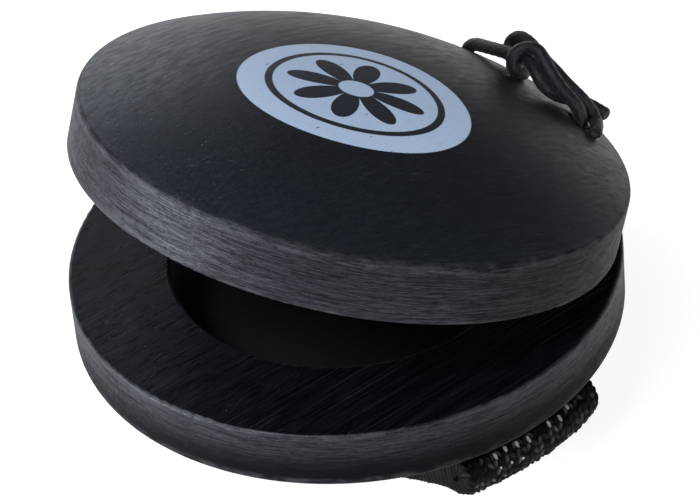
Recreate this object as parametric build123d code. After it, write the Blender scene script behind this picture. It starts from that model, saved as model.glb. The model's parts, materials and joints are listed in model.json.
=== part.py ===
"""A finger castanet: two round wooden shells hinged by a knotted elastic cord, with a finger strap.

Frame, in millimetres: Z is up, the origin is on the resting surface under the lower shell's axis,
+Y points to the hinge and +X to the side where the flattened strap shows past the shell.
Each shell is drawn in its own frame, with its flat face at Z 0 and its dome upwards, and is then placed.
"""

from build123d import *
from math import atan, cos, degrees, radians, sin, sqrt, tan
import os

# Shells
SHELL_RADIUS = 29.0
RIM_HEIGHT = 6.4
DOME_HEIGHT = 7.8
CREASE_ROUND = 0.7
FACE_EDGE_ROUND = 0.4
HOLLOW_RADIUS = 18.2
HOLLOW_DEPTH = 7.0
HOLLOW_FLOOR_ROUND = 4.0
HOLLOW_EDGE_ROUND = 0.5

# Hinge: the bevelled backs of the two faces meet when the castanet is open
PIVOT_Y = 21.1
OPEN_ANGLE = 19.6
BEVEL_ANGLE = 9.9
FACE_GAP = 0.1
UPPER_SHIFT_X = -0.9

# Elastic cord and its holes
CORD_DIAMETER = 1.5
HOLE_DIAMETER = 2.6
HOLE_X = 9.2
HOLE_Y = 22.9
HOLE_CHAMFER = 0.45
CORD_CLEARANCE = 0.08

# Finger strap, a loop of woven elastic that lies folded flat under the lower shell
STRAP_WIDTH = 19.0
STRAP_THICKNESS = 1.3
STRAP_CENTRE_Y = 2.0
STRAP_INNER_GAP = 1.1
STRAP_LAP = 7.0
STRAP_SEAM_GAP = 0.05
STRAP_SEAM_MARGIN = 1.0
STRAP_LEFT_END = -12.0
STRAP_FLAT_TO = 12.0
STRAP_LIFT_FROM = 10.0
STRAP_LIFT_ROUND = 14.0
BEND_CENTRE_X = 25.2
BEND_BELOW_FACE = 11.6
BEND_RADIUS = 1.45
BEND_SLOPE = 19.0

# Tacks that hold the strap's lapped ends to the dome
TACK_SPACING = 10.0
TACK_HEAD_DIAMETER = 6.0
TACK_HEAD_HEIGHT = 0.8
TACK_SHANK_DIAMETER = 1.4
TACK_LENGTH = 7.6
TACK_POINT = 1.6

# Knot, as the closed outer shape that the tied cord fits
KNOT_CENTRE = Vector(1.4, 21.7, 12.5)
KNOT_HALF = (3.6, 2.9, 2.2)

SHELL_HEIGHT = RIM_HEIGHT + DOME_HEIGHT
DOME_RADIUS = (SHELL_RADIUS**2 + DOME_HEIGHT**2) / (2 * DOME_HEIGHT)
STRAP_STACK = 3 * STRAP_THICKNESS + STRAP_INNER_GAP + STRAP_SEAM_GAP
APEX_Z = STRAP_STACK + FACE_GAP / 2
FACE_Z = APEX_Z + SHELL_HEIGHT
JOINT_Z = FACE_Z + FACE_GAP / 2
HOLE_SIDES = {"left": -1, "right": 1}


def dome_z(x, y):
    """Height of a shell's dome over its flat face."""
    return SHELL_HEIGHT - DOME_RADIUS + sqrt(DOME_RADIUS**2 - x * x - y * y)


def bevel_z(y):
    """Height of the bevel over the flat face, behind the pivot line."""
    return (y - PIVOT_Y) * tan(radians(BEVEL_ANGLE))


def place_lower(shape):
    """From the shell's own frame to the lower shell's place, dome downwards."""
    return Location((0, 0, FACE_Z), (0, 180, 0)) * shape


def place_upper(shape):
    """From the shell's own frame to the upper shell's place, open by OPEN_ANGLE and slipped sideways."""
    opened = Location((UPPER_SHIFT_X, PIVOT_Y, JOINT_Z), (-OPEN_ANGLE, 0, 0))
    return opened * Location((0, -PIVOT_Y, FACE_GAP / 2)) * shape


def circle_edges(shape, radius, z):
    """The full circular edges of a turned shape at one radius and height."""
    found = shape.edges().filter_by(GeomType.CIRCLE)
    return [e for e in found if abs(e.radius - radius) < 0.01 and abs(e.center().Z - z) < 0.01]


def turned_blank():
    """A shell as it leaves the lathe: straight rim, domed back and a hollow in its flat face."""
    with BuildPart() as blank:
        with BuildSketch(Plane.XZ):
            with BuildLine():
                Line((0, HOLLOW_DEPTH), (HOLLOW_RADIUS, HOLLOW_DEPTH))
                Line((HOLLOW_RADIUS, HOLLOW_DEPTH), (HOLLOW_RADIUS, 0))
                Line((HOLLOW_RADIUS, 0), (SHELL_RADIUS, 0))
                Line((SHELL_RADIUS, 0), (SHELL_RADIUS, RIM_HEIGHT))
                middle = SHELL_RADIUS / 2
                ThreePointArc((SHELL_RADIUS, RIM_HEIGHT), (middle, dome_z(middle, 0)), (0, SHELL_HEIGHT))
                Line((0, SHELL_HEIGHT), (0, HOLLOW_DEPTH))
            make_face()
        revolve(axis=Axis.Z)
    part = blank.part
    part = fillet(circle_edges(part, SHELL_RADIUS, RIM_HEIGHT), CREASE_ROUND)
    part = fillet(circle_edges(part, SHELL_RADIUS, 0), FACE_EDGE_ROUND)
    part = fillet(circle_edges(part, HOLLOW_RADIUS, HOLLOW_DEPTH), HOLLOW_FLOOR_ROUND)
    return fillet(circle_edges(part, HOLLOW_RADIUS, 0), HOLLOW_EDGE_ROUND)


def bevel_cutter():
    """The wedge taken off the back of a flat face."""
    back = SHELL_RADIUS + 2
    outline = Polyline((PIVOT_Y, 0), (back, bevel_z(back)), (back, -1), (PIVOT_Y, -1), close=True)
    wedge = make_face(Plane.YZ * outline)
    return extrude(wedge, SHELL_RADIUS, both=True)


def cord_hole(x):
    """A cord hole right through a shell, with a softened mouth on the dome."""
    mouth_z = dome_z(x, HOLE_Y)
    radius = HOLE_DIAMETER / 2
    bore = Pos(x, HOLE_Y, 0) * extrude(Circle(radius), 2 * SHELL_HEIGHT, both=True)
    mouth = Cone(radius, radius + 2 * HOLE_CHAMFER, 2 * HOLE_CHAMFER)
    return bore + Pos(x, HOLE_Y, mouth_z) * mouth


def shell():
    """One finished wooden shell, in its own frame."""
    part = turned_blank() - bevel_cutter()
    for side in HOLE_SIDES.values():
        part -= cord_hole(side * HOLE_X)
    return part


def tack(y):
    """A flat-headed tack, driven upwards through the lapped strap into the dome."""
    head_top = STRAP_THICKNESS + STRAP_INNER_GAP
    radius = TACK_SHANK_DIAMETER / 2
    with BuildPart() as nail:
        with BuildSketch(Plane.XZ):
            with BuildLine():
                Polyline(
                    (0, head_top - TACK_HEAD_HEIGHT),
                    (TACK_HEAD_DIAMETER / 2 - 0.4, head_top - TACK_HEAD_HEIGHT),
                    (TACK_HEAD_DIAMETER / 2, head_top - 0.4),
                    (TACK_HEAD_DIAMETER / 2, head_top),
                    (radius, head_top),
                    (radius, head_top + TACK_LENGTH - TACK_POINT),
                    (0, head_top + TACK_LENGTH),
                    close=True,
                )
            make_face()
        revolve(axis=Axis.Z)
    return Pos(0, y, 0) * nail.part


def strap_path():
    """The strap's middle line in X and Z, from its inner lapped end round the loop to its outer end."""
    half = STRAP_THICKNESS / 2
    inner_lap_z = 3 * half + STRAP_INNER_GAP
    outer_lap_z = inner_lap_z + STRAP_THICKNESS + STRAP_SEAM_GAP
    left_radius = 0.98 * (inner_lap_z - half) / 2
    slope = radians(BEND_SLOPE)
    along = Vector(cos(slope), sin(slope)) * BEND_RADIUS
    across = Vector(-sin(slope), cos(slope)) * BEND_RADIUS
    bend = Vector(BEND_CENTRE_X, FACE_Z - BEND_BELOW_FACE)
    corners = [
        ((STRAP_LAP, inner_lap_z), None),
        ((STRAP_LEFT_END, inner_lap_z), left_radius),
        ((STRAP_LEFT_END, half), left_radius),
        ((STRAP_FLAT_TO, half), STRAP_LIFT_ROUND),
        (bend + along - across, 0.98 * BEND_RADIUS),
        (bend + along + across, 0.98 * BEND_RADIUS),
        ((STRAP_LIFT_FROM, outer_lap_z), STRAP_LIFT_ROUND),
        ((-STRAP_LAP, outer_lap_z), None),
    ]
    points = [Vector(point) for point, _ in corners]
    radii = [radius for _, radius in corners if radius is not None]
    return FilletPolyline(*points, radius=radii)


def finger_strap(tacks):
    """The loop of woven elastic, with its two ends lapped against the dome and sewn together."""
    middle = Plane(origin=(0, STRAP_CENTRE_Y, 0), x_dir=(1, 0, 0), z_dir=(0, -1, 0))
    path = middle * strap_path()
    start = Plane(origin=path @ 0, x_dir=(0, 1, 0), z_dir=path % 0)
    band = sweep(start * Rectangle(STRAP_WIDTH, STRAP_THICKNESS), path=path)
    seam_z = APEX_Z - FACE_GAP / 2 - STRAP_THICKNESS - STRAP_SEAM_GAP / 2
    seam_size = (2 * (STRAP_LAP - STRAP_SEAM_MARGIN), STRAP_WIDTH - 2 * STRAP_SEAM_MARGIN)
    band += Pos(0, STRAP_CENTRE_Y, seam_z) * Box(*seam_size, 6 * STRAP_SEAM_GAP)
    for nail in tacks:
        band -= nail
    return band


def tube(points, radii):
    """A cord along straight runs joined by tangent arcs."""
    path = FilletPolyline(*points, radius=radii)
    return sweep(Plane(path @ 0, z_dir=path % 0) * Circle(CORD_DIAMETER / 2), path=path)


def turn_at(a, b, c):
    """The angle that a route turns by at b, in degrees."""
    return (b - a).get_angle(c - b)


def largest_radii(points):
    """For each inner point, the radius that fits 0.45 of its shorter run."""
    radii = []
    for a, b, c in zip(points, points[1:], points[2:]):
        shorter = min((b - a).length, (c - b).length)
        radii.append(0.45 * shorter / tan(radians(turn_at(a, b, c)) / 2))
    return radii


def route_tube(name, points):
    """A free stretch of cord through its route's points, whose radii are printed."""
    points = [Vector(*p) for p in points]
    radii = largest_radii(points)
    made = tube(points, radii)
    section = 3.14159265 * CORD_DIAMETER**2 / 4
    length = FilletPolyline(*points, radius=radii).length
    fill = made.volume / (section * length)
    print(name, "radii", [round(r, 1) for r in radii], "volume over section times length", round(fill, 4))
    return made


def cord_leg(x):
    """The cord inside one of the upper shell's holes, up to just past its mouth.

    The shells are slipped sideways on each other, so the cord leans on opposite walls of their holes.
    """
    foot = bevel_z(HOLE_Y) + CORD_CLEARANCE
    height = dome_z(x, HOLE_Y) + 0.3 - foot
    return Pos(x - UPPER_SHIFT_X / 2, HOLE_Y, foot) * extrude(Circle(CORD_DIAMETER / 2), height)


def cord_bight():
    """The cord through both of the lower shell's holes and across its dome between them."""
    foot = bevel_z(HOLE_Y) + CORD_CLEARANCE
    rest = CORD_DIAMETER / 2 + CORD_CLEARANCE
    corner_z = dome_z(HOLE_X, HOLE_Y) + rest + 0.5
    crown_z = dome_z(0, HOLE_Y) + rest
    points = [
        Vector(-HOLE_X, HOLE_Y, foot),
        Vector(-HOLE_X, HOLE_Y, corner_z),
        Vector(0, HOLE_Y, crown_z),
        Vector(HOLE_X, HOLE_Y, corner_z),
        Vector(HOLE_X, HOLE_Y, foot),
    ]
    return Pos(-UPPER_SHIFT_X / 2, 0, 0) * tube(points, [CORD_DIAMETER * 0.9, 30.0, CORD_DIAMETER * 0.9])


def knot():
    """The closed outer shape of the tied knot."""
    ball = scale(Sphere(1), by=KNOT_HALF)
    return Location(KNOT_CENTRE) * ball


def free_cord():
    """The strands between the holes and the knot, and the two cut tails, in the upper shell's frame."""
    start = dome_z(HOLE_X, HOLE_Y) + 0.3
    left, right = (side * HOLE_X - UPPER_SHIFT_X / 2 for side in HOLE_SIDES.values())
    routes = {
        "cord_strand_left": [
            (left, HOLE_Y, start),
            (left, HOLE_Y, start + 1.1),
            (-7.8, 22.7, 10.9),
            (-5.0, 22.1, 11.3),
            (0.0, 21.4, 12.3),
        ],
        "cord_strand_right": [
            (right, HOLE_Y, start),
            (right, HOLE_Y, start + 0.9),
            (8.9, 22.1, 11.0),
            (6.8, 21.2, 12.5),
            (3.6, 20.9, 13.6),
        ],
        "cord_tail_short": [
            (3.0, 20.7, 12.6),
            (5.1, 19.6, 11.8),
            (6.5, 21.5, 10.4),
            (7.2, 23.4, 9.7),
            (9.4, 26.8, 9.2),
        ],
        "cord_tail_long": [
            (1.7, 23.4, 12.8),
            (4.6, 23.3, 12.5),
            (8.4, 24.2, 11.2),
            (11.3, 24.5, 9.6),
            (12.9, 22.9, 8.9),
        ],
    }
    ball = knot()
    return {name: route_tube(name, points) - ball for name, points in routes.items()}


def castanet():
    """Every sub-part in its place, by node name."""
    tack_y = {"front": STRAP_CENTRE_Y - TACK_SPACING / 2, "rear": STRAP_CENTRE_Y + TACK_SPACING / 2}
    tacks = {f"strap_tack_{place}": tack(y) for place, y in tack_y.items()}
    lower_shell = place_lower(shell())
    for nail in tacks.values():
        lower_shell -= nail
    parts = {
        "lower_shell": lower_shell,
        "upper_shell": place_upper(shell()),
        "finger_strap": finger_strap(tacks.values()),
        "cord_bight": place_lower(cord_bight()),
        "cord_knot": place_upper(knot()),
        **tacks,
    }
    for side, sign in HOLE_SIDES.items():
        parts[f"cord_leg_{side}"] = place_upper(cord_leg(sign * HOLE_X))
    for name, stretch in free_cord().items():
        parts[name] = place_upper(stretch)
    return parts


os.makedirs("parts", exist_ok=True)
for node, solid in castanet().items():
    export_step(solid, f"parts/{node}.step")
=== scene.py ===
"""The looks of the finger castanet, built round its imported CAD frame.

The shells and tacks are the CAD's own nodes with procedural materials. The strap and the cord are
built here as woven and braided pieces that stand for the plain CAD solids.
Positions below are in millimetres in each piece's own drawing frame, and are turned into metres in
the row's frame as they are used. A shell's own frame has its flat face at Z 0, its dome upwards,
its axis on Z and the hinge towards +Y.
"""

import json
from math import cos, pi, radians, sin

import bpy
import numpy as np
from mathutils import Matrix, Vector


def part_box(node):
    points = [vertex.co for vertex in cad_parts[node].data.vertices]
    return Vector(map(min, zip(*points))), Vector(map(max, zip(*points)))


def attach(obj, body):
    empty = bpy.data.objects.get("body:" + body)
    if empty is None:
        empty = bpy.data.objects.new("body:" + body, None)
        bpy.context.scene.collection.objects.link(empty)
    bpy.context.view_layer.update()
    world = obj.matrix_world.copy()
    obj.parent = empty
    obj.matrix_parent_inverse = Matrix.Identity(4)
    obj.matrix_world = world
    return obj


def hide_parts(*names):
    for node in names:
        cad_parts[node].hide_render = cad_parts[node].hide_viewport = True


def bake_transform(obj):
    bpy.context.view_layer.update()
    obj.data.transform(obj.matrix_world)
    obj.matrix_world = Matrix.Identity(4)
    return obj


MM = 0.001

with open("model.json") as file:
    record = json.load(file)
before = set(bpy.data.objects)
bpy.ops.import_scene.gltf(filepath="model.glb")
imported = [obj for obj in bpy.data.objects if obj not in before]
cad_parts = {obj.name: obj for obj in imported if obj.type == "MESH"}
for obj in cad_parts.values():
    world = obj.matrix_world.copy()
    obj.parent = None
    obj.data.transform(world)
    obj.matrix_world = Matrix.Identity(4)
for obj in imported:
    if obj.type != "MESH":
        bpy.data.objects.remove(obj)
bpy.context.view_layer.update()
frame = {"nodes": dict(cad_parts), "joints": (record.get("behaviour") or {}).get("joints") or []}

# ---- Driving sizes, from the frame -------------------------------------------------------------

LOWER_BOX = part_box("lower_shell")
STRAP_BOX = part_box("finger_strap")
HINGE = frame["joints"][0]
SHELL_RADIUS = LOWER_BOX[1].x / MM
SHELL_HEIGHT = (LOWER_BOX[1].z - LOWER_BOX[0].z) / MM
FACE_Z = LOWER_BOX[1].z / MM
OPEN_ANGLE = radians(HINGE["range_deg"][1])
PIVOT = Vector(HINGE["pos_m"]) / MM
FACE_GAP = 2 * (PIVOT.z - FACE_Z)

# ---- Sizes the looks need, the same as in the CAD -----------------------------------------------

RIM_HEIGHT = 6.4
DOME_HEIGHT = SHELL_HEIGHT - RIM_HEIGHT
DOME_RADIUS = (SHELL_RADIUS**2 + DOME_HEIGHT**2) / (2 * DOME_HEIGHT)
HOLLOW_RADIUS = 18.2
BEVEL_SLOPE = 0.1745
CORD_DIAMETER = 1.5
CORD_CLEARANCE = 0.08
HOLE_X = 9.2
HOLE_Y = 22.9
UPPER_SHIFT_X = -0.9
STRAP_THICKNESS = 1.3

# ---- Frames -------------------------------------------------------------------------------------

UPPER_FRAME = (
    Matrix.Translation(PIVOT)
    @ Matrix.Rotation(-OPEN_ANGLE, 4, "X")
    @ Matrix.Translation((UPPER_SHIFT_X, -PIVOT.y, FACE_GAP / 2))
)
LOWER_FRAME = Matrix.Translation((0, 0, FACE_Z)) @ Matrix.Rotation(pi, 4, "Y")


def in_row(frame_matrix, points):
    """Points of a drawing frame in millimetres, as points of the row's frame in metres."""
    return [frame_matrix @ Vector(p) * MM for p in points]


def dome_z(x, y):
    """Height of a shell's dome over its flat face."""
    return SHELL_HEIGHT - DOME_RADIUS + (DOME_RADIUS**2 - x * x - y * y) ** 0.5


# ---- Material graphs ----------------------------------------------------------------------------


class Graph:
    """A material's node tree. An input may be a number, a colour, a vector or another node's output."""

    def __init__(self, name):
        self.material = bpy.data.materials.new(name)
        self.material.use_nodes = True
        self.tree = self.material.node_tree
        self.shader = self.tree.nodes["Principled BSDF"]

    def set(self, socket, value):
        """Links or sets one input."""
        if isinstance(value, bpy.types.NodeSocket):
            self.tree.links.new(value, socket)
        elif socket.type == "RGBA" and len(value) == 3:
            socket.default_value = (*value, 1)
        else:
            socket.default_value = value

    def add(self, kind, inputs, output=0, **settings):
        """Adds a node with its settings, fills its inputs and returns one output."""
        node = self.tree.nodes.new("ShaderNode" + kind)
        for name, value in settings.items():
            setattr(node, name, value)
        for name, value in inputs.items():
            self.set(node.inputs[name], value)
        return node.outputs[output]

    def math(self, operation, a, b=0.0):
        """One arithmetic step."""
        return self.add("Math", {0: a, 1: b}, operation=operation)

    def times(self, *values):
        """The product of two or more values."""
        product = values[0]
        for value in values[1:]:
            product = self.math("MULTIPLY", product, value)
        return product

    def step(self, value, low, high, to_low=0.0, to_high=1.0):
        """A smooth step of value from low to high."""
        inputs = {"Value": value, "From Min": low, "From Max": high, "To Min": to_low, "To Max": to_high}
        return self.add("MapRange", inputs, interpolation_type="SMOOTHSTEP")

    def mix(self, share, a, b):
        """A colour share of the way from a to b."""
        return self.add("Mix", {0: share, 6: a, 7: b}, output=2, data_type="RGBA")

    def scaled(self, vector, scale):
        """A vector with its own scale along each axis."""
        return self.add("VectorMath", {0: vector, 1: scale}, operation="MULTIPLY")

    def noise(self, vector, scale, detail=2.0, roughness=0.5):
        """Noise with its own scale along each axis."""
        inputs = {"Vector": self.scaled(vector, scale), "Scale": 1.0}
        inputs.update(Detail=detail, Roughness=roughness)
        return self.add("TexNoise", inputs)

    def cells(self, vector, scale):
        """Distance to the nearest of randomly strewn points, with its own scale along each axis."""
        return self.add("TexVoronoi", {"Vector": self.scaled(vector, scale), "Scale": 1.0})

    def bump(self, height, distance):
        """A bump whose height runs from 0 to distance, in metres."""
        return self.add("Bump", {"Height": height, "Distance": distance, "Strength": 1.0})

    def finish(self, colour, roughness, normal=None, **fixed):
        """Fills the shader and returns the material."""
        self.set(self.shader.inputs["Base Color"], colour)
        self.set(self.shader.inputs["Roughness"], roughness)
        if normal is not None:
            self.set(self.shader.inputs["Normal"], normal)
        for name, value in fixed.items():
            self.set(self.shader.inputs[name.replace("_", " ")], value)
        return self.material

    def drawing_frame(self, frame_matrix):
        """The surface point in a drawing frame, in millimetres."""
        inverse = frame_matrix.inverted()
        inputs = {
            "Vector": self.add("TexCoord", {}, output="Object"),
            "Location": inverse.translation,
            "Rotation": inverse.to_euler(),
            "Scale": (1 / MM,) * 3,
        }
        return self.add("Mapping", inputs)


# ---- Stained wood -------------------------------------------------------------------------------

DOME_DARK = (0.0026, 0.0037, 0.0055)
DOME_PALE = (0.0085, 0.0115, 0.0160)
RIM_DARK = (0.0010, 0.0012, 0.0018)
RIM_PALE = (0.0118, 0.0126, 0.0158)
FACE_DARK = (0.0006, 0.0010, 0.0018)
FACE_PALE = (0.0125, 0.0155, 0.0205)
HOLLOW_COLOUR = (0.0110, 0.0110, 0.0135)
WORN_COLOUR = (0.062, 0.064, 0.066)
SCRATCH_COLOUR = (0.040, 0.044, 0.048)
PORE_COLOUR = (0.0008, 0.0009, 0.0011)
PRINT_COLOUR = (0.47, 0.58, 0.73)
PRINT_DARK = (0.014, 0.0165, 0.022)

# How often each mark repeats in a millimetre along X, Y and Z of the drawing frame
CLOUD_SCALE = (0.12, 0.06, 0.12)
GRAIN_SCALE = (4.5, 0.30, 4.5)
FIBRE_SCALE = (9.0, 1.0, 9.0)
SANDING_SCALE = (0.22, 0.22, 7.5)
NICK_SCALE = (1.0, 1.0, 9.0)
FACE_SCRATCH_SCALE = (6.5, 0.05, 1.0)
RUBBED_SCALE = (0.35, 0.35, 0.9)
COAT_SCALE = (1.8, 0.25, 1.8)
SCUFF_SCALE = (4.5, 0.22, 4.5)
SCUFF_PLACES = (0.11, 0.11, 0.11)
SPECK_SCALE = (1.3, 1.3, 1.3)
PORE_PATCHES = (0.16, 0.10, 0.16)
PORE_SCALE = (1.15, 0.80, 1.15)
FINE_PORE_SCALE = (2.6, 0.60, 2.6)
PRINT_GAP_SCALE = (0.75, 0.20, 0.75)

SCRATCH_TURN = radians(24)
CREASE_WEAR = 0.32
LIP_WEAR = 0.35
PORE_DARKNESS = 0.85
COAT_SHINE = 0.28
RIM_DULLING = 0.25
COAT_ROUGHNESS = (0.40, 0.56)
FACE_SMOOTHING = 0.17
RIM_ROUGHENING = 0.02
HOLLOW_ROUGHENING = 0.25
WOOD_RELIEF = 0.04 * MM
TOWARDS_MOUTH = (-0.55, -0.83)
# How pale each rim is at its dome: the lower shell's rim, dark there by the floor, is painted shade as well
# as wear.
LOWER_FAR_WEAR_AND_SHADE = 0.05
UPPER_FAR_WEAR_AND_SHADE = 0.85

BADGE_CENTRE = (3.5, -4.8)
BADGE_HALF = (12.2, 9.6)
BADGE_TURN = radians(33)
PETALS = 8
PETAL_OUTER = 0.60
PETAL_INNER = 0.16
EYE_RADIUS = 0.151
RING_INNER = 0.705
RING_OUTER = 0.77
PRINT_FILL = 0.75
PRINT_GAPS = 0.8


def surface_zones(g, point):
    """Where the surface is rim, struck face or hollow, each from 0 to 1, and where its edges wear."""
    parts = g.tree.nodes.new("ShaderNodeSeparateXYZ")
    g.set(parts.inputs[0], point)
    x, y, z = parts.outputs
    flat = g.add("CombineXYZ", {0: x, 1: y})
    radius = g.add("VectorMath", {0: flat}, output="Value", operation="LENGTH")
    behind = g.math("MAXIMUM", g.math("SUBTRACT", y, PIVOT.y), 0.0)
    over_face = g.math("SUBTRACT", z, g.math("MULTIPLY", behind, BEVEL_SLOPE))
    rim = g.times(g.step(radius, SHELL_RADIUS - 0.5, SHELL_RADIUS - 0.15), g.step(over_face, 0.02, 0.25))
    face = g.times(g.step(over_face, 0.3, 0.1), g.math("SUBTRACT", 1.0, rim))
    inside = g.times(g.step(radius, HOLLOW_RADIUS + 0.5, HOLLOW_RADIUS + 0.1), g.step(z, 8.5, 7.5))
    hollow = g.times(inside, g.step(z, 0.2, 1.2))
    crease = g.times(
        g.step(radius, SHELL_RADIUS - 0.75, SHELL_RADIUS - 0.3),
        g.step(z, RIM_HEIGHT - 0.95, RIM_HEIGHT - 0.55),
    )
    lip = g.times(g.step(radius, SHELL_RADIUS - 0.4, SHELL_RADIUS - 0.15), g.step(over_face, 0.75, 0.35))
    zones = {"x": x, "y": y, "z": z, "rim": rim, "face": face, "hollow": hollow}
    return {**zones, "crease": crease, "lip": lip}


def towards_mouth(g, zones):
    """How far a point lies towards the mouth, leaning to the shell's -X side, from -1 to 1."""
    along_x, along_y = TOWARDS_MOUTH
    return g.math(
        "ADD", g.times(zones["x"], along_x / SHELL_RADIUS), g.times(zones["y"], along_y / SHELL_RADIUS)
    )


def pore_marks(g, point, zones, grain):
    """The wood's open pores: dark dashes along the grain, crowded where the dome falls to the mouth."""
    patches = g.noise(point, PORE_PATCHES, detail=3.0)
    crowd = g.step(g.math("ADD", towards_mouth(g, zones), g.times(patches, 1.6)), 1.15, 1.70)
    pore = g.times(g.step(g.cells(point, PORE_SCALE), 0.19, 0.11), crowd)
    in_dark_grain = g.step(grain, 0.48, 0.62, 0.1, 0.5)
    fine_pore = g.times(g.step(g.cells(point, FINE_PORE_SCALE), 0.20, 0.10), in_dark_grain)
    closed = g.math("MAXIMUM", zones["face"], g.times(zones["rim"], 0.6))
    open_grain = g.math("SUBTRACT", 1.0, g.math("MAXIMUM", zones["hollow"], closed))
    return g.times(g.math("MAXIMUM", pore, fine_pore), open_grain)


def scuff_marks(g, point):
    """Faint pale scratches that cross the grain, and tiny pale specks."""
    turned = g.add("Mapping", {"Vector": point, "Rotation": (0, 0, SCRATCH_TURN)})
    strokes = g.noise(turned, SCUFF_SCALE, detail=3.0, roughness=0.8)
    places = g.step(g.noise(point, SCUFF_PLACES, detail=2.0), 0.44, 0.62)
    speck = g.step(g.cells(point, SPECK_SCALE), 0.095, 0.06)
    marks = g.math("MAXIMUM", g.step(strokes, 0.60, 0.72), g.times(speck, 0.8))
    return g.times(marks, places, 0.55)


def wood_marks(g, point, zones):
    """The marks that colour and relief share."""
    grain = g.noise(point, GRAIN_SCALE, detail=4.0, roughness=0.65)
    return {
        "grain": grain,
        "fibre": g.noise(point, FIBRE_SCALE, detail=3.0, roughness=0.7),
        "sanding": g.noise(point, SANDING_SCALE, detail=5.0, roughness=0.70),
        "nicks": g.noise(point, NICK_SCALE, detail=3.0, roughness=0.7),
        "scuffs": scuff_marks(g, point),
        "pits": pore_marks(g, point, zones, grain),
    }


def rim_wear_and_shade(g, zones, marks, far_wear_and_shade):
    """How pale the rim is: paler in sanding lines round it, which is wear; paler by the struck face and
    darker towards the dome, partly wear and partly painted shade; and paler towards the mouth.
    """
    lines = g.times(
        g.step(marks["sanding"], 0.36, 0.64, 0.22, 1.0), g.step(marks["nicks"], 0.36, 0.52, 0.35, 1.0)
    )
    # Painted shade, partly wear: the rim darkens from the struck face towards the dome, which on the lower
    # shell is its bottom by the floor.
    by_face = g.step(zones["z"], 0.8, 5.0, 1.0, far_wear_and_shade)
    by_mouth = g.step(towards_mouth(g, zones), -0.75, -0.15, 0.30, 1.0)
    return g.times(lines, by_face, by_mouth)


def stained_colour(g, point, zones, marks, rim_wear_and_shade_share):
    """The stained wood's colour, without its pores."""
    cloud = g.noise(point, CLOUD_SCALE, detail=5.0, roughness=0.6)
    dome_share = g.times(g.step(cloud, 0.35, 0.7, 0.6, 1.0), g.step(marks["grain"], 0.35, 0.65, 0.25, 1.0))
    dome_share = g.times(dome_share, g.step(marks["fibre"], 0.35, 0.6, 0.5, 1.0))
    colour = g.mix(dome_share, DOME_DARK, DOME_PALE)
    colour = g.mix(marks["scuffs"], colour, SCRATCH_COLOUR)
    # The rim's colour, darker towards the dome partly as painted shade.
    colour = g.mix(zones["rim"], colour, g.mix(rim_wear_and_shade_share, RIM_DARK, RIM_PALE))
    scratch = g.noise(point, FACE_SCRATCH_SCALE, detail=4.0, roughness=0.75)
    face_share = g.times(g.step(scratch, 0.52, 0.62), g.step(marks["fibre"], 0.30, 0.70, 0.4, 1.0))
    colour = g.mix(zones["face"], colour, g.mix(face_share, FACE_DARK, FACE_PALE))
    colour = g.mix(zones["hollow"], colour, HOLLOW_COLOUR)
    rubbed = g.step(g.noise(point, RUBBED_SCALE, detail=5.0, roughness=0.7), 0.40, 0.68)
    worn_crease = g.times(zones["crease"], rubbed, CREASE_WEAR)
    worn_lip = g.times(zones["lip"], rubbed, LIP_WEAR)
    return g.mix(g.math("MAXIMUM", worn_crease, worn_lip), colour, WORN_COLOUR)


def coat_roughness(g, point, zones):
    """The satin coat's roughness: smoother on the struck face, rougher on the rim and in the hollow."""
    streaks = g.noise(point, COAT_SCALE, detail=5.0, roughness=0.65)
    roughness = g.step(streaks, 0.3, 0.7, *COAT_ROUGHNESS)
    roughness = g.math("SUBTRACT", roughness, g.times(zones["face"], FACE_SMOOTHING))
    roughness = g.math("ADD", roughness, g.times(zones["rim"], RIM_ROUGHENING))
    return g.math("ADD", roughness, g.times(zones["hollow"], HOLLOW_ROUGHENING))


def wood_relief(g, zones, marks, pits):
    """The height of the grain, the scuffs, the rim's sanding lines and the pores."""
    turned = g.math("ADD", g.times(marks["grain"], 0.5), g.times(marks["fibre"], 0.35))
    turned = g.math("ADD", turned, g.times(marks["scuffs"], 0.5))
    sanded = g.math("ADD", marks["sanding"], g.times(marks["nicks"], 0.5))
    smooth = g.times(turned, g.math("SUBTRACT", 1.0, zones["rim"]))
    relief = g.math("ADD", smooth, g.times(zones["rim"], sanded))
    return g.math("SUBTRACT", relief, pits)


def badge_masks(g, zones):
    """The printed oval and its rosette: where there is print, and where the print is dark."""
    along_x, along_y = cos(BADGE_TURN), sin(BADGE_TURN)
    from_x = g.math("SUBTRACT", zones["x"], BADGE_CENTRE[0])
    from_y = g.math("SUBTRACT", zones["y"], BADGE_CENTRE[1])
    along = g.math("ADD", g.times(from_x, along_x), g.times(from_y, along_y))
    across = g.math("SUBTRACT", g.times(from_y, along_x), g.times(from_x, along_y))
    along_share = g.times(along, 1 / BADGE_HALF[0])
    across_share = g.times(across, 1 / BADGE_HALF[1])
    spot = g.add("CombineXYZ", {0: along_share, 1: across_share})
    reach = g.add("VectorMath", {0: spot}, output="Value", operation="LENGTH")
    oval = g.times(g.step(reach, 1.006, 0.994), g.step(zones["z"], 8.0, 9.0))
    angle = g.math("ARCTAN2", across_share, along_share)
    wave = g.math("ABSOLUTE", g.math("COSINE", g.times(angle, PETALS / 2)))
    petal_reach = g.math("ADD", PETAL_INNER, g.times(g.math("POWER", wave, 0.8), PETAL_OUTER - PETAL_INNER))
    petals = g.step(g.math("SUBTRACT", petal_reach, reach), -0.006, 0.006)
    past_eye = g.step(reach, EYE_RADIUS - 0.006, EYE_RADIUS + 0.006)
    in_ring = g.step(reach, RING_OUTER + 0.005, RING_OUTER - 0.005)
    ring = g.times(g.step(reach, RING_INNER - 0.005, RING_INNER + 0.005), in_ring)
    return oval, g.math("MAXIMUM", g.times(petals, past_eye), ring)


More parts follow.
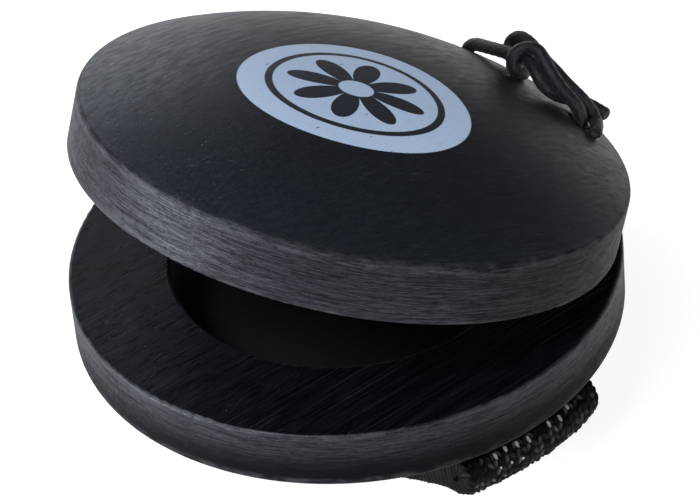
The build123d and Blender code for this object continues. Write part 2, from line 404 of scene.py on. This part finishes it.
def printed(g, point, colour, oval, dark, fibre):
    """The colour with the badge printed over it, a little broken by the wood's grain."""
    print_tone = g.mix(g.step(fibre, 0.35, 0.7, 0.0, 0.10), PRINT_COLOUR, DOME_PALE)
    print_tone = g.mix(dark, print_tone, PRINT_DARK)
    gaps = g.times(g.step(g.cells(point, PRINT_GAP_SCALE), 0.075, 0.045), PRINT_GAPS)
    return g.mix(g.times(oval, g.math("SUBTRACT", 1.0, gaps)), colour, print_tone)


def wood(name, frame_matrix, far_wear_and_shade, badge=False):
    """Black-stained turned hardwood with a thin satin coat, its grain along the shell's Y.

    The third argument is how pale the rim is at the dome, where 1 is as pale as at the struck face; a darker
    rim there is partly wear and partly painted shade.
    """
    g = Graph(name)
    point = g.drawing_frame(frame_matrix)
    zones = surface_zones(g, point)
    marks = wood_marks(g, point, zones)
    rim_wear_and_shade_share = rim_wear_and_shade(g, zones, marks, far_wear_and_shade)
    colour = stained_colour(g, point, zones, marks, rim_wear_and_shade_share)
    pits = marks["pits"]
    if badge:
        oval, dark = badge_masks(g, zones)
        colour = printed(g, point, colour, oval, dark, marks["fibre"])
        pits = g.times(pits, g.math("SUBTRACT", 1.0, g.times(oval, PRINT_FILL)))
    colour = g.mix(g.times(pits, PORE_DARKNESS), colour, PORE_COLOUR)
    dull = g.times(zones["rim"], g.math("SUBTRACT", 1.0, rim_wear_and_shade_share), RIM_DULLING)
    g.set(g.shader.inputs["Specular IOR Level"], g.math("SUBTRACT", COAT_SHINE, dull))
    relief = g.bump(wood_relief(g, zones, marks, pits), WOOD_RELIEF)
    return g.finish(colour, coat_roughness(g, point, zones), relief)


# ---- Woven elastic ------------------------------------------------------------------------------

YARN_DARK = (0.0012, 0.0014, 0.0016)
YARN_HIGHLIGHT = (0.190, 0.204, 0.214)
RUBBER_COLOUR = (0.42, 0.45, 0.40)
YARN_SCALE = (5.0, 10.0, 1.0)
YARN_RELIEF = 0.12 * MM


def woven_elastic():
    """Black knitted elastic, painted lighter on its stitch tops as a highlight, whose pale rubber strands
    show where it is pulled open round a bend.
    """
    g = Graph("woven_elastic")
    uv = g.add("UVMap", {}, uv_map="weave")
    rib = g.add("Attribute", {}, output="Fac", attribute_name="crown")
    opened = g.add("Attribute", {}, output="Fac", attribute_name="rubber")
    twist = g.noise(uv, YARN_SCALE, detail=3.0, roughness=0.6)
    # Painted highlight: the stitch tops are painted pale and the grooves between them dark, broken up by the
    # yarn's twist.
    share = g.times(g.math("POWER", rib, 2.8), g.step(twist, 0.38, 0.66, 0.15, 1.0))
    colour = g.mix(share, YARN_DARK, YARN_HIGHLIGHT)
    shown = g.step(opened, 0.30, 0.50)
    colour = g.mix(shown, colour, RUBBER_COLOUR)
    return g.finish(colour, 0.7, g.bump(twist, YARN_RELIEF), Specular_IOR_Level=0.08)


# ---- Braided cord -------------------------------------------------------------------------------

CORD_DARK = (0.0025, 0.0026, 0.0032)
CORD_HIGHLIGHT = (0.017, 0.017, 0.022)
CORE_COLOUR = (0.016, 0.014, 0.014)
FUZZ_SCALE = (2.2, 14.0, 1.0)
FUZZ_RELIEF = 0.06 * MM


def braided_cord():
    """Thin elastic cord: a black cover braided from fine yarns, painted lighter on the yarn crowns as a
    highlight, with a slight sheen.
    """
    g = Graph("elastic_cord")
    uv = g.add("UVMap", {}, uv_map="braid")
    yarn = g.add("Attribute", {}, output="Fac", attribute_name="crown")
    core = g.add("Attribute", {}, output="Fac", attribute_name="core")
    fuzz = g.noise(uv, FUZZ_SCALE, detail=4.0, roughness=0.65)
    # Painted highlight: the yarn crowns are painted pale and the grooves dark, broken up by the fuzz.
    share = g.times(g.step(yarn, 0.15, 1.0, 0.1, 1.0), g.step(fuzz, 0.35, 0.72, 0.3, 1.0))
    colour = g.mix(share, CORD_DARK, CORD_HIGHLIGHT)
    colour = g.mix(core, colour, CORE_COLOUR)
    relief = g.bump(fuzz, FUZZ_RELIEF)
    return g.finish(colour, 0.5, relief, Specular_IOR_Level=0.22, Sheen_Weight=0.05)


STEEL_DARK = (0.30, 0.29, 0.27)
STEEL_PALE = (0.50, 0.49, 0.46)
STEEL_SCRATCH_SCALE = (6.0, 1.0, 6.0)
STEEL_RELIEF = 0.02 * MM


def tack_steel():
    """Dull plated steel with fine scratches."""
    g = Graph("tack_steel")
    point = g.drawing_frame(Matrix.Identity(4))
    scratch = g.noise(point, STEEL_SCRATCH_SCALE, detail=4.0, roughness=0.7)
    colour = g.mix(g.step(scratch, 0.35, 0.7), STEEL_DARK, STEEL_PALE)
    roughness = g.step(scratch, 0.3, 0.7, 0.28, 0.45)
    return g.finish(colour, roughness, g.bump(scratch, STEEL_RELIEF), Metallic=1.0)


# ---- Curves and meshes --------------------------------------------------------------------------


def spline_points(name, control, resolution):
    """Points along the smooth spline whose control points are given, in metres."""
    curve = bpy.data.curves.new(name, "CURVE")
    curve.dimensions = "3D"
    curve.resolution_u = resolution
    spline = curve.splines.new("NURBS")
    spline.points.add(len(control) - 1)
    for place, point in zip(spline.points, control):
        place.co = (*point, 1)
    spline.order_u = 3
    spline.use_endpoint_u = True
    holder = bpy.data.objects.new(name, curve)
    bpy.context.scene.collection.objects.link(holder)
    bpy.context.view_layer.update()
    line = bpy.data.meshes.new_from_object(holder)
    points = [v.co.copy() for v in line.vertices]
    bpy.data.objects.remove(holder)
    bpy.data.curves.remove(curve)
    return points


def evenly(points, spacing):
    """The same line as points a nearly constant distance apart."""
    line = np.array([tuple(p) for p in points])
    steps = np.linalg.norm(np.diff(line, axis=0), axis=1)
    at = np.concatenate([[0], np.cumsum(steps)])
    wanted = np.linspace(0, at[-1], max(2, round(at[-1] / spacing) + 1))
    return np.stack([np.interp(wanted, at, line[:, k]) for k in range(3)], axis=1)


def mesh_object(name, vertices, faces, material, smooth=True):
    """A new mesh object with one material."""
    mesh = bpy.data.meshes.new(name)
    mesh.from_pydata([tuple(v) for v in vertices], [], faces)
    mesh.materials.append(material)
    if smooth:
        mesh.shade_smooth()
    made = bpy.data.objects.new(name, mesh)
    bpy.context.scene.collection.objects.link(made)
    return made


def set_point_values(made, name, values):
    """Stores one number per vertex."""
    attribute = made.data.attributes.new(name, "FLOAT", "POINT")
    attribute.data.foreach_set("value", np.asarray(values, np.float32))


def set_uv(made, name, per_vertex):
    """Stores a UV map from one coordinate pair per vertex."""
    layer = made.data.uv_layers.new(name=name)
    loops = np.zeros(len(made.data.loops), np.int32)
    made.data.loops.foreach_get("vertex_index", loops)
    layer.data.foreach_set("uv", np.asarray(per_vertex, np.float32)[loops].ravel())


FIRST_SIDE = (0.31, 0.17, 0.94)


def carried_frames(line):
    """Unit tangents and two cross directions carried along a line without twisting."""
    tangents = np.gradient(line, axis=0)
    tangents /= np.linalg.norm(tangents, axis=1)[:, None]
    side = np.cross(tangents[0], FIRST_SIDE)
    sides = []
    for tangent in tangents:
        side = side - tangent * (side @ tangent)
        side = side / np.linalg.norm(side)
        sides.append(side)
    sides = np.array(sides)
    return tangents, sides, np.cross(tangents, sides)


# ---- Cord ---------------------------------------------------------------------------------------

CORD_SEGMENTS = 28
CORD_STEP = 0.11 * MM
BRAID_YARNS = 8
BRAID_PITCH = 2.6
BRAID_RELIEF = 0.075
END_SHRINK = 0.86
END_RINGS = ((0.72, 0.10, 0.0), (0.55, -0.02, 1.0))
# How much painted highlight the rings of a cut end get.
CORE_CROWN = 0.4


def cut_end(vertices, faces, uv, crowns, cores, first, outward, sense):
    """Closes a cut end with a ring of cover yarn round a slightly sunken rubber core."""
    rim = vertices[first : first + CORD_SEGMENTS]
    centre = rim.mean(axis=0)
    for share, rise, core in END_RINGS:
        start = len(vertices)
        ring = centre + (rim - centre) * share + outward * rise * MM
        vertices = np.concatenate([vertices, ring])
        uv = np.concatenate([uv, uv[first : first + CORD_SEGMENTS]])
        crowns = np.concatenate([crowns, np.full(CORD_SEGMENTS, CORE_CROWN)])
        cores = np.concatenate([cores, np.full(CORD_SEGMENTS, core)])
        for j in range(CORD_SEGMENTS):
            k = (j + 1) % CORD_SEGMENTS
            quad = (first + j, first + k, start + k, start + j)
            faces.append(quad if sense > 0 else quad[::-1])
        first = start
    cap = tuple(range(first, first + CORD_SEGMENTS))
    faces.append(cap if sense > 0 else cap[::-1])
    return vertices, faces, uv, crowns, cores


def cord_tube(name, points, material):
    """A braided cord of the right thickness along a line in metres, with blunt cut ends."""
    line = evenly(points, CORD_STEP)
    tangents, sides, ups = carried_frames(line)
    count = len(line)
    length = np.arange(count) * CORD_STEP / MM
    angle = np.arange(CORD_SEGMENTS) * 2 * pi / CORD_SEGMENTS
    around, along = np.meshgrid(angle, length)
    turn = 2 * pi * along / BRAID_PITCH
    left = np.cos(BRAID_YARNS * around + turn * 2)
    right = np.cos(BRAID_YARNS * around - turn * 2)
    crown = 0.5 + 0.5 * np.maximum(left, right) * np.abs(np.cos(turn * 2))
    radius = (CORD_DIAMETER / 2 + BRAID_RELIEF * (crown - 1)) * MM
    radius[0] *= END_SHRINK
    radius[-1] *= END_SHRINK
    ring = sides[:, None] * np.cos(around)[..., None] + ups[:, None] * np.sin(around)[..., None]
    vertices = (line[:, None] + ring * radius[..., None]).reshape(-1, 3)
    faces = []
    for i in range(count - 1):
        for j in range(CORD_SEGMENTS):
            k = (j + 1) % CORD_SEGMENTS
            here, there = i * CORD_SEGMENTS, (i + 1) * CORD_SEGMENTS
            faces.append((here + j, here + k, there + k, there + j))
    uv = np.stack([along.ravel(), around.ravel() / (2 * pi)], axis=1)
    crowns = crown.ravel()
    cores = np.zeros(len(vertices))
    for end, outward in ((0, -1), (count - 1, 1)):
        vertices, faces, uv, crowns, cores = cut_end(
            vertices, faces, uv, crowns, cores, end * CORD_SEGMENTS, tangents[end] * outward, outward
        )
    made = mesh_object(name, vertices, faces, material)
    set_uv(made, "braid", uv)
    # The yarn crowns, which the material paints as highlights.
    set_point_values(made, "crown", crowns)
    set_point_values(made, "core", cores)
    return made


LEFT_START = 2.6
RIGHT_START = 6.6
INTO_HOLE = 1.2
MOUTH_INSIDE = 1.5
MOUTH_OUTSIDE = 1.25
BESIDE_HOLE = 0.6 * HOLE_X
BESIDE_LIFT = 0.2
MIDDLE_LIFT = 0.05


def hinge_cord(material):
    """The cord from one hole of the upper shell, down, across under the lower shell and up again."""
    rest = CORD_DIAMETER / 2 + CORD_CLEARANCE
    middle_x = UPPER_SHIFT_X / 2
    mouth = dome_z(HOLE_X, HOLE_Y)
    crossing = [
        (HOLE_X, INTO_HOLE),
        (HOLE_X, mouth - MOUTH_INSIDE),
        (HOLE_X, mouth + MOUTH_OUTSIDE),
        (BESIDE_HOLE, dome_z(BESIDE_HOLE, HOLE_Y) + rest + BESIDE_LIFT),
    ]
    below = [(x - middle_x, HOLE_Y, z) for x, z in crossing]
    below.append((-middle_x, HOLE_Y, dome_z(0, HOLE_Y) + rest + MIDDLE_LIFT))
    below += [(-x - middle_x, HOLE_Y, z) for x, z in reversed(crossing)]
    left_leg = [(-HOLE_X - middle_x, HOLE_Y, z) for z in (LEFT_START, INTO_HOLE)]
    right_leg = [(HOLE_X - middle_x, HOLE_Y, z) for z in (INTO_HOLE, RIGHT_START)]
    route = in_row(UPPER_FRAME, left_leg) + in_row(LOWER_FRAME, below) + in_row(UPPER_FRAME, right_leg)
    made = cord_tube("hinge_cord", spline_points("hinge_cord_line", route, 24), material)
    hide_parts("cord_bight")
    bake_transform(made)
    return made


LEFT_ROUTE = [
    (-8.75, 22.9, LEFT_START),
    (-8.75, 22.9, 6.0),
    (-8.8, 22.9, 8.9),
    (-7.8, 22.8, 10.0),
    (-5.3, 22.2, 10.8),
    (-2.6, 21.6, 11.7),
    (-0.6, 21.4, 12.1),
    (1.2, 21.1, 12.8),
    (2.7, 20.5, 13.1),
    (4.1, 20.1, 12.8),
    (5.2, 19.85, 12.2),
    (6.1, 20.4, 11.4),
    (6.3, 22.1, 10.5),
    (6.2, 23.9, 9.9),
    (6.5, 25.6, 9.4),
    (7.4, 26.8, 9.0),
    (9.0, 27.2, 8.75),
]
RIGHT_ROUTE = [
    (9.65, 22.9, RIGHT_START),
    (9.65, 22.9, 7.7),
    (9.5, 22.9, 9.3),
    (8.9, 22.1, 10.8),
    (7.5, 21.3, 11.75),
    (6.1, 20.95, 12.7),
    (4.9, 20.85, 13.5),
    (4.0, 20.8, 14.2),
    (3.0, 20.8, 14.6),
    (1.8, 20.4, 14.3),
    (1.2, 19.6, 13.5),
    (1.3, 19.3, 12.4),
    (1.7, 19.9, 11.4),
    (1.5, 21.4, 10.9),
    (0.2, 22.7, 10.6),
    (-1.3, 23.3, 10.4),
    (-2.9, 23.6, 10.4),
    (-4.0, 24.0, 11.5),
    (-3.3, 24.3, 12.8),
    (-1.4, 24.2, 13.0),
    (1.7, 23.5, 12.5),
    (4.3, 23.0, 12.3),
    (5.8, 22.9, 11.9),
    (7.2, 23.3, 11.3),
    (8.1, 24.0, 10.6),
    (8.9, 24.8, 9.5),
    (10.2, 24.5, 8.9),
    (11.3, 23.5, 8.95),
    (12.1, 22.5, 8.9),
]


LEFT_NODES = ("cord_leg_left", "cord_strand_left", "cord_tail_short", "cord_knot")
RIGHT_NODES = ("cord_leg_right", "cord_strand_right", "cord_tail_long")


def knotted_end(name, route, nodes, material):
    """One free end of the cord, from its hole through the knot to its cut tail."""
    points = spline_points(name + "_line", in_row(UPPER_FRAME, route), 24)
    made = cord_tube(name, points, material)
    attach(made, "upper")
    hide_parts(*nodes)
    return made


# ---- Strap --------------------------------------------------------------------------------------

STRAP_STEP = 0.12 * MM
STRAP_COLUMNS = 158
SELVEDGE_COLUMNS = 7
RIB_PITCH = 1.46
STITCH_PITCH = 0.66
STITCH_SLANT = 0.55
KNIT_RELIEF = 0.42
SELVEDGE = 0.9
SELVEDGE_HIGHLIGHT = 0.4
EDGE_NOTCH = 0.22
BEND_CENTRE = (25.2, FACE_Z - 11.6)
BEND_RADIUS = 1.6
BEND_SWELL = 0.25
BEND_REACH = 9.0
BEND_FILL = 2.6
FRONT_LIFT = 1.25
REAR_LIFT = 0.7
REAR_DRAW = 1.25
RUBBER_ANGLE = radians(52)
RUBBER_ROWS = ((0.0, 1.0, 0.85), (-1.1, 0.65, 0.5), (1.0, 0.65, 0.5))
RUBBER_WIDTH = 0.19
RUBBER_LENGTH = 0.30
RUBBER_MARGIN = 2


def strap_line():
    """The strap's middle line from its inner lapped end, round the loop, to its outer lapped end."""
    low = STRAP_THICKNESS / 2
    inner = FACE_Z - SHELL_HEIGHT - 1.5 * STRAP_THICKNESS - 0.06
    outer = inner + STRAP_THICKNESS + 0.02
    bend_x, bend_z = BEND_CENTRE
    control = [
        (7.0, inner),
        (3.0, inner),
        (-4.0, inner),
        (-9.2, inner + 0.02),
        (-11.6, inner - 0.1),
        (-12.2, (inner + low) / 2),
        (-11.4, low + 0.06),
        (-8.6, low),
        (0.0, low),
        (8.0, low),
        (13.0, low + 0.35),
        (18.0, low + 2.2),
        (bend_x - 2.2, bend_z - 2.35),
        (bend_x + 1.1, bend_z - 1.75),
        (bend_x + 2.15, bend_z + 0.35),
        (bend_x + 1.1, bend_z + 1.85),
        (bend_x - 1.4, bend_z + 1.35),
        (18.0, outer + 2.35),
        (12.5, outer + 0.75),
        (8.0, outer + 0.08),
        (3.0, outer),
        (-3.0, outer),
        (-7.0, outer),
    ]
    middle_y = (STRAP_BOX[0].y + STRAP_BOX[1].y) / 2
    points = [Vector((x * MM, middle_y, z * MM)) for x, z in control]
    return evenly(spline_points("strap_line", points, 30), STRAP_STEP)


def chance(column, row):
    """A fixed random number from 0 to 1 for each stitch."""
    return np.abs(np.modf(np.sin(column * 12.99 + row * 78.23) * 4375.85)[0])


def knit(along, across, width):
    """The knitted face, each from 0 to 1: stitch height, the painted highlight on the stitch tops and
    selvedge loops, and thickness towards the selvedges.
    """
    column = across / (RIB_PITCH / 2)
    index = np.floor(column)
    lean = np.where(index % 2 == 0, STITCH_SLANT, -STITCH_SLANT) * (column - index - 0.5)
    pick = along / STITCH_PITCH + lean
    number = np.floor(pick)
    stitch = (np.sin(pi * (column - index)) * np.sin(pi * (pick - number))) ** 0.55
    groove = np.abs(np.sin(pi * across / RIB_PITCH)) ** 0.5
    height = stitch * (0.5 + 0.5 * chance(index, number)) * (0.5 + 0.5 * groove)
    # Painted highlight: each stitch is painted lighter towards its top, at a random strength per stitch.
    stitch_highlight = stitch * (0.15 + 0.85 * chance(index + 5, number))
    inset = np.clip(np.minimum(across, width - across) / SELVEDGE, 0, 1)
    wrap = along / STITCH_PITCH + 0.5 * inset
    luck = 0.1 + 0.9 * chance(np.floor(2 * inset), np.floor(wrap))
    # Painted highlight along the tops of the selvedge loops.
    loop = SELVEDGE_HIGHLIGHT * np.abs(np.sin(pi * wrap)) ** 0.7 * luck
    return height, np.where(inset < 0.7, loop, stitch_highlight), np.sqrt(inset * (2 - inset))


def rubber_spots(along, across, bend_at):
    """Pale rubber strands that show between the ribs in rows round the outside of the bend."""
    rib = across / RIB_PITCH
    nearest = np.round(rib)
    last = nearest.max()
    beside = (rib - nearest) * RIB_PITCH
    inner = (nearest > RUBBER_MARGIN) & (nearest < last - RUBBER_MARGIN)
    shown = np.zeros(along.shape)
    for row, (ahead, size, share) in enumerate(RUBBER_ROWS):
        luck = chance(nearest + 7 * row, 3.0 + row)
        place = bend_at + ahead + 0.5 * (luck - 0.5)
        spot = np.exp(-((beside / RUBBER_WIDTH) ** 2) - ((along - place) / (RUBBER_LENGTH * size)) ** 2)
        shown = np.maximum(shown, spot * size * (luck < share) * inner)
    return shown


def settled(points_x, points_y, middle_y, width):
    """How far the strap's outer stretch has crept in and up towards its two edges, in millimetres."""
    from_middle = (points_y - middle_y) / (width / 2)
    outward = np.clip((points_x - 4) / 18, 0, 1)
    outward = outward * outward * (3 - 2 * outward)
    front = np.clip(-from_middle, 0, 1) ** 2.5
    rear = np.clip(from_middle, 0, 1) ** 2.5
    return -REAR_DRAW * rear * outward, (FRONT_LIFT * front + REAR_LIFT * rear) * outward


def strap_grid(rows, width):
    """Distances along and across the strap in millimetres, finer at the selvedges."""
    along = np.arange(rows) * STRAP_STEP / MM
    even = np.linspace(0, width, STRAP_COLUMNS)
    close = SELVEDGE * np.linspace(0, 1, SELVEDGE_COLUMNS + 2)[1:-1] ** 2
    across = np.unique(np.concatenate([even, close, width - close]))
    return np.meshgrid(along, across, indexing="ij")


def strap_sheet(line, grid_along, grid_across, width, side):
    """One face of the strap, 1 for the outer and -1 for the inner: its points, painted stitch highlight and
    rubber.
    """
    tangents = np.gradient(line, axis=0)
    tangents /= np.linalg.norm(tangents, axis=1)[:, None]
    normals = np.cross((0.0, 1.0, 0.0), tangents)
    middle_y = (STRAP_BOX[1].y + STRAP_BOX[0].y) / (2 * MM)
    out_x = line[:, 0] / MM - BEND_CENTRE[0]
    out_z = line[:, 2] / MM - BEND_CENTRE[1]
    near_bend = np.clip(1 - (np.hypot(out_x, out_z) - BEND_RADIUS) / BEND_REACH, 0, 1)[:, None]
    fill = BEND_FILL * near_bend * np.clip(0.45 - 0.4 * out_x, 0.3, 1)[:, None]
    height, stitch_highlight, edge = knit(grid_along, grid_across + 0.25 * RIB_PITCH * (side < 0), width)
    thickness = STRAP_THICKNESS * (1 + BEND_SWELL * near_bend)
    half = thickness / 2 + (side < 0) * fill + KNIT_RELIEF * (height - 1)
    half = half * (0.06 + 0.94 * edge)
    sheet = line[:, None] + side * half[..., None] * normals[:, None] * MM
    inset = np.clip(np.minimum(grid_across, width - grid_across) / SELVEDGE, 0, 1)
    notch = EDGE_NOTCH * (1 - inset) * (1 - np.abs(np.sin(pi * grid_along / STITCH_PITCH)))
    beside = grid_across - width / 2
    sheet[..., 1] += (beside - np.sign(beside) * notch) * MM
    draw, lift = settled(sheet[..., 0] / MM, sheet[..., 1] / MM, middle_y, width)
    sheet[..., 0] += draw * MM
    sheet[..., 2] += lift * MM
    turn = np.abs(np.arctan2(out_z, out_x) - RUBBER_ANGLE) + (out_x < 0) * pi
    bend_at = grid_along[turn.argmin(), 0]
    rubber = rubber_spots(grid_along, grid_across, bend_at) * (side > 0)
    return sheet, stitch_highlight, rubber


def strap_faces(rows, columns):
    """The quads of the outer face, the inner face, the two selvedges and the two cut ends."""
    back = rows * columns
    faces = []
    for i in range(rows - 1):
        for j in range(columns - 1):
            a, b = i * columns + j, (i + 1) * columns + j
            faces.append((a, b, b + 1, a + 1))
            faces.append((back + a, back + a + 1, back + b + 1, back + b))
        for j, turned in ((0, False), (columns - 1, True)):
            a, b = i * columns + j, (i + 1) * columns + j
            quad = (a, back + a, back + b, b)
            faces.append(quad[::-1] if turned else quad)
    for i, turned in ((0, False), (rows - 1, True)):
        for j in range(columns - 1):
            a = i * columns + j
            quad = (a, a + 1, back + a + 1, back + a)
            faces.append(quad[::-1] if turned else quad)
    return faces


def finger_strap(material):
    """The loop of woven elastic, folded flat, with its ribs and stitches in the mesh."""
    line = strap_line()
    width = (STRAP_BOX[1].y - STRAP_BOX[0].y) / MM
    grid_along, grid_across = strap_grid(len(line), width)
    sheets = [strap_sheet(line, grid_along, grid_across, width, side) for side in (1, -1)]
    vertices = np.concatenate([sheet.reshape(-1, 3) for sheet, stitch_highlight, rubber in sheets])
    made = mesh_object("finger_strap_weave", vertices, strap_faces(*grid_along.shape), material)
    uv = np.stack([grid_along.ravel(), grid_across.ravel()], axis=1)
    set_uv(made, "weave", np.concatenate([uv, uv]))
    # The painted stitch highlights, for the material.
    set_point_values(made, "crown", np.concatenate([stitch_highlight.ravel() for sheet, stitch_highlight, rubber in sheets]))
    set_point_values(made, "rubber", np.concatenate([rubber.ravel() for sheet, stitch_highlight, rubber in sheets]))
    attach(made, "lower")
    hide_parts("finger_strap")
    return made


# ---- Stage --------------------------------------------------------------------------------------


FLOOR_COLOUR = (0.4, 0.4, 0.4)
FLOOR_GLOW = 0.86
FLOOR_HALF = 6.0


def floor():
    """A plain pale floor, lit evenly from itself."""
    g = Graph("floor")
    glow = {"Emission_Color": (1, 1, 1, 1), "Emission_Strength": FLOOR_GLOW}
    material = g.finish(FLOOR_COLOUR, 0.9, Specular_IOR_Level=0.0, **glow)
    half = FLOOR_HALF
    corners = [(-half, -half, 0), (half, -half, 0), (half, half, 0), (-half, half, 0)]
    made = mesh_object("floor", corners, [(0, 1, 2, 3)], material, smooth=False)


LIGHT_COLOUR = (0.92, 0.98, 1.08)
SURROUND_STRENGTH = 0.12

# Each light's name, its place and size in metres, and its power in watts
LIGHTS = (
    ("overhead", (0.10, -0.60, 1.0), (0.6, 0.6), 10),
    ("left_side", (-0.90, 0.32, 0.24), (0.5, 0.4), 1.6),
    ("mouth_side", (-0.26, -0.85, 0.10), (0.30, 0.24), 21),
    ("camera_side", (0.87, -0.23, 0.14), (0.2, 0.2), 3),
    ("hinge_side", (0.80, 0.45, 0.10), (0.3, 0.2), 0.8),
)
LIGHT_TARGET = (0, 0, 0.02)


def area_light(name, place, size, power):
    """A soft rectangular light aimed at the object."""
    light = bpy.data.lights.new(name, "AREA")
    light.shape = "RECTANGLE"
    light.size, light.size_y = size
    light.energy = power
    light.color = LIGHT_COLOUR
    made = bpy.data.objects.new(name, light)
    made.location = place
    made.rotation_euler = (Vector(LIGHT_TARGET) - Vector(place)).to_track_quat("-Z", "Y").to_euler()
    bpy.context.scene.collection.objects.link(made)


def lights():
    """Plain soft studio light: a dim surround, a wide light overhead and four smaller ones low down."""
    world = bpy.data.worlds.new("surround")
    world.use_nodes = True
    background = world.node_tree.nodes["Background"]
    background.inputs["Color"].default_value = (1, 1, 1, 1)
    background.inputs["Strength"].default_value = SURROUND_STRENGTH
    bpy.context.scene.world = world
    for light in LIGHTS:
        area_light(*light)


CAMERA_AZIMUTH = radians(53.81)
CAMERA_ELEVATION = radians(38.85)
CAMERA_ROLL = radians(-5.31)
CAMERA_DISTANCE = 417.2
CAMERA_LENS = 205.7
CAMERA_SHIFT = (0.0073, 0.0021)


def camera():
    """The camera, aimed at the centre of the lower shell's face, with a slight roll."""
    around, up = CAMERA_AZIMUTH, CAMERA_ELEVATION
    back = Vector((sin(around) * cos(up), -cos(around) * cos(up), sin(up)))
    right = Vector((cos(around), sin(around), 0))
    above = back.cross(right)
    rolled_right = right * cos(CAMERA_ROLL) + above * sin(CAMERA_ROLL)
    rolled_up = above * cos(CAMERA_ROLL) - right * sin(CAMERA_ROLL)
    data = bpy.data.cameras.new("camera")
    data.sensor_width = 36
    data.lens = CAMERA_LENS
    data.shift_x, data.shift_y = CAMERA_SHIFT
    data.clip_start, data.clip_end = 0.01, 50
    made = bpy.data.objects.new("camera", data)
    turn = Matrix((rolled_right, rolled_up, back)).transposed().to_4x4()
    place = (Vector((0, 0, FACE_Z)) + back * CAMERA_DISTANCE) * MM
    made.matrix_world = Matrix.Translation(place) @ turn
    bpy.context.scene.collection.objects.link(made)
    bpy.context.scene.camera = made


# ---- Assembly -----------------------------------------------------------------------------------


def paint(node, material):
    """Gives a CAD node its material."""
    mesh = frame["nodes"][node].data
    mesh.materials.clear()
    mesh.materials.append(material)


def build():
    """Every material and piece."""
    paint("lower_shell", wood("black_wood_lower", LOWER_FRAME, LOWER_FAR_WEAR_AND_SHADE))
    paint("upper_shell", wood("black_wood_upper", UPPER_FRAME, UPPER_FAR_WEAR_AND_SHADE, badge=True))
    steel = tack_steel()
    for node in ("strap_tack_front", "strap_tack_rear"):
        paint(node, steel)
    finger_strap(woven_elastic())
    cord_material = braided_cord()
    hinge_cord(cord_material)
    knotted_end("cord_end_left", LEFT_ROUTE, LEFT_NODES, cord_material)
    knotted_end("cord_end_right", RIGHT_ROUTE, RIGHT_NODES, cord_material)


camera()
lights()
floor()
build()
bpy.context.scene.view_settings.view_transform = "Standard"
